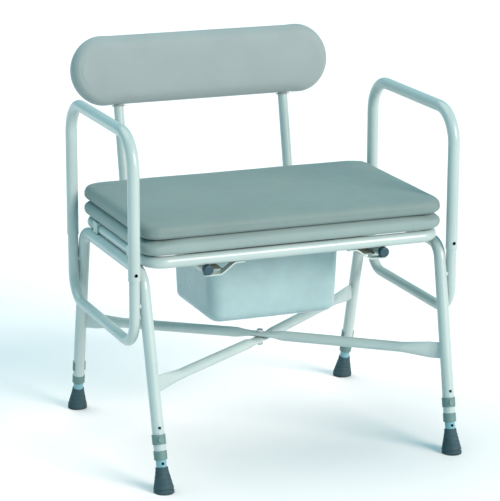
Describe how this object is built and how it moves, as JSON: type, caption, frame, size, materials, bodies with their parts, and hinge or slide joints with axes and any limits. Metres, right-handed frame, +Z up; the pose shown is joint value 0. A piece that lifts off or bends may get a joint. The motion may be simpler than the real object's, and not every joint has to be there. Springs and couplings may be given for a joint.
{
  "type": "commode chair",
  "caption": "Free-standing extra-wide commode chair: tube frame, lift-off arms, adjustable legs, padded toilet seat and lid, slip-on backrest and slide-out pan.",
  "frame": {"origin": "on the floor, under the middle of the whole chair's box", "axes": "+Z up, front towards -Y, +X to the sitter's left"},
  "size_m": [0.7434, 0.7141, 0.8369],
  "materials": {
    "frame_enamel": "satin powder coat",
    "inner_tube": "satin powder coat",
    "plated_steel": "zinc plated",
    "spring_steel": "blued",
    "seat_vinyl": "vinyl-coated cloth over foam",
    "back_vinyl": "vinyl-coated cloth over foam",
    "plywood": "sealed",
    "ferrule_rubber": "matt",
    "clip_plastic": "fine grain",
    "pale_plastic": "fine grain",
    "dark_plastic": "fine grain",
    "pan_plastic": "smooth, milky"
  },
  "bodies": {
    "frame": {"side_frame_left": "frame_enamel", "side_frame_right": "frame_enamel", "seat_frame": "frame_enamel", "arm_loop_left": "frame_enamel", "arm_loop_right": "frame_enamel", "arm_spring_left": "spring_steel", "arm_spring_right": "spring_steel", "cross_brace_upper": "frame_enamel", "cross_brace_lower": "frame_enamel", "brace_bolt": "plated_steel", "brace_nut": "plated_steel", "back_post_left": "frame_enamel", "back_post_right": "frame_enamel", "rail_caps": "dark_plastic", "post_caps": "dark_plastic", "runner_left": "frame_enamel", "runner_right": "frame_enamel", "runner_bracket_left": "frame_enamel", "runner_bracket_right": "frame_enamel", "leg_bush_front_left": "clip_plastic", "leg_bush_rear_left": "clip_plastic", "leg_bush_front_right": "clip_plastic", "leg_bush_rear_right": "clip_plastic", "leg_clip_front_left": "clip_plastic", "leg_clip_rear_left": "clip_plastic", "leg_clip_front_right": "clip_plastic", "leg_clip_rear_right": "clip_plastic"},
    "arm_left": {"arm_left": "frame_enamel"},
    "arm_button_left": {"arm_button_left": "spring_steel"},
    "arm_right": {"arm_right": "frame_enamel"},
    "arm_button_right": {"arm_button_right": "spring_steel"},
    "foot_front_left": {"inner_leg_front_left": "inner_tube", "ferrule_front_left": "ferrule_rubber", "ferrule_washer_front_left": "plated_steel"},
    "foot_rear_left": {"inner_leg_rear_left": "inner_tube", "ferrule_rear_left": "ferrule_rubber", "ferrule_washer_rear_left": "plated_steel"},
    "foot_front_right": {"inner_leg_front_right": "inner_tube", "ferrule_front_right": "ferrule_rubber", "ferrule_washer_front_right": "plated_steel"},
    "foot_rear_right": {"inner_leg_rear_right": "inner_tube", "ferrule_rear_right": "ferrule_rubber", "ferrule_washer_rear_right": "plated_steel"},
    "backrest": {"backrest_pad": "back_vinyl", "backrest_board": "plywood", "backrest_sleeves": "dark_plastic"},
    "pan": {"pan": "pan_plastic"},
    "toilet_seat": {"toilet_seat_board": "plywood", "toilet_seat_pad": "seat_vinyl", "seat_clips": "pale_plastic", "seat_clip_screws": "plated_steel"},
    "lid": {"lid_board": "plywood", "lid_pad": "seat_vinyl", "lid_locator": "dark_plastic"}
  },
  "joints": [
    {"name": "leg_extend_front_left", "type": "slide", "parent": "frame", "child": "foot_front_left", "axis": [-0.017, -0.2227, -0.9747], "range_m": [0, 0.125], "deforming": ["leg_clip_front_left"]},
    {"name": "leg_extend_rear_left", "type": "slide", "parent": "frame", "child": "foot_rear_left", "axis": [-0.017, 0.2227, -0.9747], "range_m": [0, 0.125], "deforming": ["leg_clip_rear_left"]},
    {"name": "leg_extend_front_right", "type": "slide", "parent": "frame", "child": "foot_front_right", "axis": [0.017, -0.2227, -0.9747], "range_m": [0, 0.125], "deforming": ["leg_clip_front_right"]},
    {"name": "leg_extend_rear_right", "type": "slide", "parent": "frame", "child": "foot_rear_right", "axis": [0.017, 0.2227, -0.9747], "range_m": [0, 0.125], "deforming": ["leg_clip_rear_right"]},
    {"name": "arm_left_lift", "type": "slide", "parent": "frame", "child": "arm_left", "axis": [0, 0, 1], "range_m": [0, 0.13], "deforming": ["arm_button_left"]},
    {"name": "arm_button_left_press", "type": "slide", "parent": "frame", "child": "arm_button_left", "axis": [0, 1, 0], "range_m": [0, 0.0035], "stiffness_N_per_m": 900, "springref_m": -0.006, "deforming": ["arm_spring_left"]},
    {"name": "arm_right_lift", "type": "slide", "parent": "frame", "child": "arm_right", "axis": [0, 0, 1], "range_m": [0, 0.13], "deforming": ["arm_button_right"]},
    {"name": "arm_button_right_press", "type": "slide", "parent": "frame", "child": "arm_button_right", "axis": [0, 1, 0], "range_m": [0, 0.0035], "stiffness_N_per_m": 900, "springref_m": -0.006, "deforming": ["arm_spring_right"]},
    {"name": "backrest_lift", "type": "slide", "parent": "frame", "child": "backrest", "axis": [0, 0.2011, 0.9796], "range_m": [0, 0.14]},
    {"name": "pan_slide", "type": "slide", "parent": "frame", "child": "pan", "axis": [0, 1, 0], "range_m": [0, 0.52]},
    {"name": "toilet_seat_lift", "type": "slide", "parent": "frame", "child": "toilet_seat", "axis": [0, 0, 1], "range_m": [0, 0.39]},
    {"name": "lid_lift", "type": "slide", "parent": "toilet_seat", "child": "lid", "axis": [0, 0, 1], "range_m": [0, 0.34]}
  ]
}
